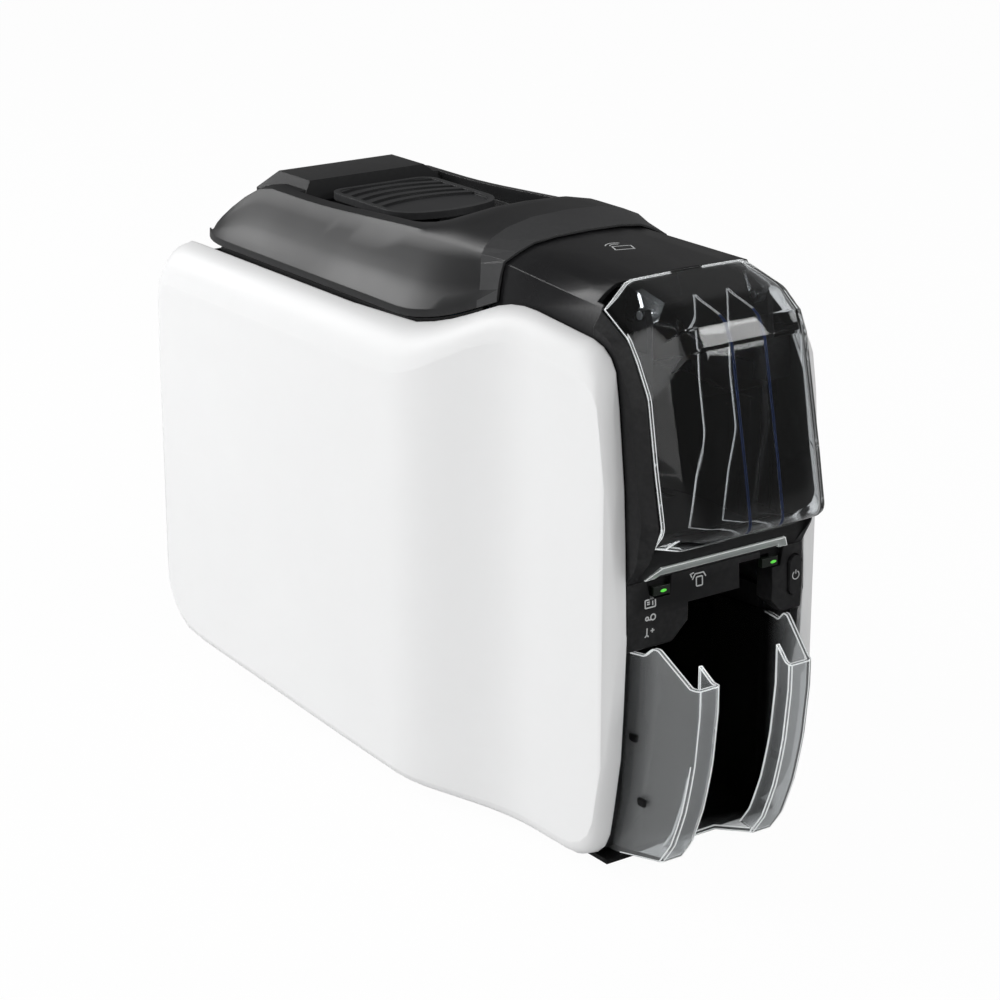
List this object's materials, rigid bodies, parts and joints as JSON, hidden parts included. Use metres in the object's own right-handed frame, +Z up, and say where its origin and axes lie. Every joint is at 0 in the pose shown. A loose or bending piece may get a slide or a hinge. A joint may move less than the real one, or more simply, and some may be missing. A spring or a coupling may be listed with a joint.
{
  "type": "id_card_printer",
  "caption": "Desktop identity card printer: slim white and charcoal case, clear hinged card hopper cover, clear output hopper, hinged lid, ribbon bay and geared card path",
  "frame": {"origin": "on the floor, under the middle of the printer in width and depth", "axes": "+X the printer's own left seen from its front, -Y front, +Z up"},
  "size_m": [0.158, 0.3903, 0.2735],
  "materials": {
    "white_plastic": "fine satin moulded",
    "charcoal_plastic": "fine moulded texture",
    "black_plastic": "matte moulded",
    "clear_plastic": "clear polished",
    "smoke_clear": "lightly smoked polished",
    "green_window": "lit lens",
    "foot_rubber": "matte",
    "roller_rubber": "ground smooth",
    "bright_steel": "zinc plated",
    "gear_plastic": "natural acetal",
    "pinion_brass": "machined",
    "motor_black": "black coated",
    "board": "solder mask",
    "cartridge_plastic": "satin moulded",
    "ribbon": "dye film",
    "cleaner_blue": "tacky smooth",
    "head_alloy": "anodised"
  },
  "bodies": {
    "chassis": {"base_pan": "black_plastic", "rubber_feet": "foot_rubber", "side_panel_left": "white_plastic", "side_panel_right": "white_plastic", "rear_cover": "black_plastic", "power_inlet": "black_plastic", "usb_socket": "bright_steel", "network_socket": "bright_steel", "frame_left": "bright_steel", "frame_right": "bright_steel", "bushes": "gear_plastic", "panel_posts": "bright_steel", "top_deck": "black_plastic", "lid_hinge_pins": "bright_steel", "hopper_housing": "charcoal_plastic", "front_bezel": "charcoal_plastic", "cover_pins": "bright_steel", "lower_front": "charcoal_plastic", "light_pipe": "clear_plastic", "status_windows": "green_window", "input_tray": "black_plastic", "output_liner": "black_plastic", "card_guide": "black_plastic", "return_chute": "black_plastic", "circuit_board": "board", "drive_motor": "motor_black", "idler_studs": "bright_steel", "ribbon_cartridge": "cartridge_plastic", "ribbon_film": "ribbon", "frame_screws": "bright_steel"},
    "lid": {"top_lid": "charcoal_plastic", "lid_frame": "black_plastic", "printhead_bracket": "bright_steel", "printhead": "head_alloy"},
    "release_pad": {"release_button": "charcoal_plastic"},
    "latch": {"latch_lever": "bright_steel"},
    "cover": {"hopper_cover": "clear_plastic", "cover_ears": "charcoal_plastic"},
    "out_hopper": {"output_hopper": "smoke_clear"},
    "power_key": {"power_button": "charcoal_plastic"},
    "platen": {"platen_roller": "roller_rubber", "platen_gear": "gear_plastic"},
    "feed": {"feed_roller": "roller_rubber", "feed_gear": "gear_plastic"},
    "rear_drive": {"rear_roller": "roller_rubber", "rear_gear": "gear_plastic"},
    "pick": {"pick_roller": "roller_rubber", "pick_gear": "gear_plastic"},
    "pinch_front": {"front_pinch_roller": "roller_rubber"},
    "pinch_rear": {"rear_pinch_roller": "roller_rubber"},
    "idler_front": {"front_idler": "gear_plastic"},
    "idler_rear": {"rear_idler": "gear_plastic"},
    "idler_pick": {"pick_idler": "gear_plastic"},
    "reducer": {"reducer_gear": "gear_plastic"},
    "pinion": {"motor_pinion": "pinion_brass"},
    "supply": {"supply_spool": "ribbon"},
    "takeup": {"takeup_spool": "ribbon"},
    "cleaner": {"cleaning_roller": "cleaner_blue"},
    "gate": {"card_gate": "charcoal_plastic"}
  },
  "joints": [
    {"name": "lid_hinge", "type": "hinge", "parent": "chassis", "child": "lid", "pos_m": [0, 0.165, 0.219], "axis": [-1, 0, 0], "range_deg": [0, 70]},
    {"name": "pad_press", "type": "slide", "parent": "lid", "child": "release_pad", "axis": [0, 0, -1], "range_m": [0, 0.0025], "stiffness_N_per_m": 800, "springref_m": -0.003},
    {"name": "latch_pivot", "type": "hinge", "parent": "lid", "child": "latch", "pos_m": [0, -0.012, 0.2414], "axis": [1, 0, 0], "range_deg": [-3, 0.2]},
    {"name": "cover_hinge", "type": "hinge", "parent": "chassis", "child": "cover", "pos_m": [0, -0.15, 0.251], "axis": [-1, 0, 0], "range_deg": [0, 75]},
    {"name": "hopper_pull", "type": "slide", "parent": "chassis", "child": "out_hopper", "axis": [0, -1, 0], "range_m": [0, 0.09]},
    {"name": "power_press", "type": "slide", "parent": "chassis", "child": "power_key", "axis": [0, 1, 0], "range_m": [0, 0.0015], "stiffness_N_per_m": 700, "springref_m": -0.001},
    {"name": "platen_spin", "type": "hinge", "parent": "chassis", "child": "platen", "pos_m": [0, 0.008, 0.144], "axis": [1, 0, 0], "continuous": true},
    {"name": "feed_spin", "type": "hinge", "parent": "chassis", "child": "feed", "pos_m": [0, -0.052, 0.144], "axis": [1, 0, 0], "continuous": true},
    {"name": "rear_spin", "type": "hinge", "parent": "chassis", "child": "rear_drive", "pos_m": [0, 0.068, 0.144], "axis": [1, 0, 0], "continuous": true},
    {"name": "pick_spin", "type": "hinge", "parent": "chassis", "child": "pick", "pos_m": [0, -0.102, 0.144], "axis": [1, 0, 0], "continuous": true},
    {"name": "pinch_front_spin", "type": "hinge", "parent": "chassis", "child": "pinch_front", "pos_m": [0, -0.052, 0.15576], "axis": [1, 0, 0], "continuous": true},
    {"name": "pinch_rear_spin", "type": "hinge", "parent": "chassis", "child": "pinch_rear", "pos_m": [0, 0.068, 0.15576], "axis": [1, 0, 0], "continuous": true},
    {"name": "idler_front_spin", "type": "hinge", "parent": "chassis", "child": "idler_front", "pos_m": [0, -0.022, 0.144], "axis": [1, 0, 0], "continuous": true},
    {"name": "idler_rear_spin", "type": "hinge", "parent": "chassis", "child": "idler_rear", "pos_m": [0, 0.038, 0.144], "axis": [1, 0, 0], "continuous": true},
    {"name": "idler_pick_spin", "type": "hinge", "parent": "chassis", "child": "idler_pick", "pos_m": [0, -0.077, 0.144], "axis": [1, 0, 0], "continuous": true},
    {"name": "reducer_spin", "type": "hinge", "parent": "chassis", "child": "reducer", "pos_m": [0, 0.038, 0.12], "axis": [1, 0, 0], "continuous": true},
    {"name": "pinion_spin", "type": "hinge", "parent": "chassis", "child": "pinion", "pos_m": [0, 0.038, 0.09], "axis": [1, 0, 0], "continuous": true},
    {"name": "supply_spin", "type": "hinge", "parent": "chassis", "child": "supply", "pos_m": [0, 0.054, 0.186], "axis": [1, 0, 0], "continuous": true},
    {"name": "takeup_spin", "type": "hinge", "parent": "chassis", "child": "takeup", "pos_m": [0, -0.036, 0.186], "axis": [1, 0, 0], "continuous": true},
    {"name": "cleaner_spin", "type": "hinge", "parent": "chassis", "child": "cleaner", "pos_m": [0, -0.034, 0.15536], "axis": [1, 0, 0], "continuous": true},
    {"name": "gate_tilt", "type": "hinge", "parent": "chassis", "child": "gate", "pos_m": [0, 0.085, 0.14], "axis": [1, 0, 0], "range_deg": [-10, 10], "stiffness_Nm_per_rad": 0.05}
  ],
  "couplings": [
    {"joint": "latch_pivot", "follows": "pad_press", "rad_per_m": -17.857},
    {"joint": "idler_front_spin", "follows": "platen_spin", "ratio": -0.875},
    {"joint": "idler_rear_spin", "follows": "platen_spin", "ratio": -0.875},
    {"joint": "feed_spin", "follows": "platen_spin", "ratio": 1},
    {"joint": "rear_spin", "follows": "platen_spin", "ratio": 1},
    {"joint": "idler_pick_spin", "follows": "platen_spin", "ratio": -1.2727},
    {"joint": "pick_spin", "follows": "platen_spin", "ratio": 1},
    {"joint": "reducer_spin", "follows": "platen_spin", "ratio": 1.75},
    {"joint": "pinion_spin", "follows": "platen_spin", "ratio": -7}
  ]
}
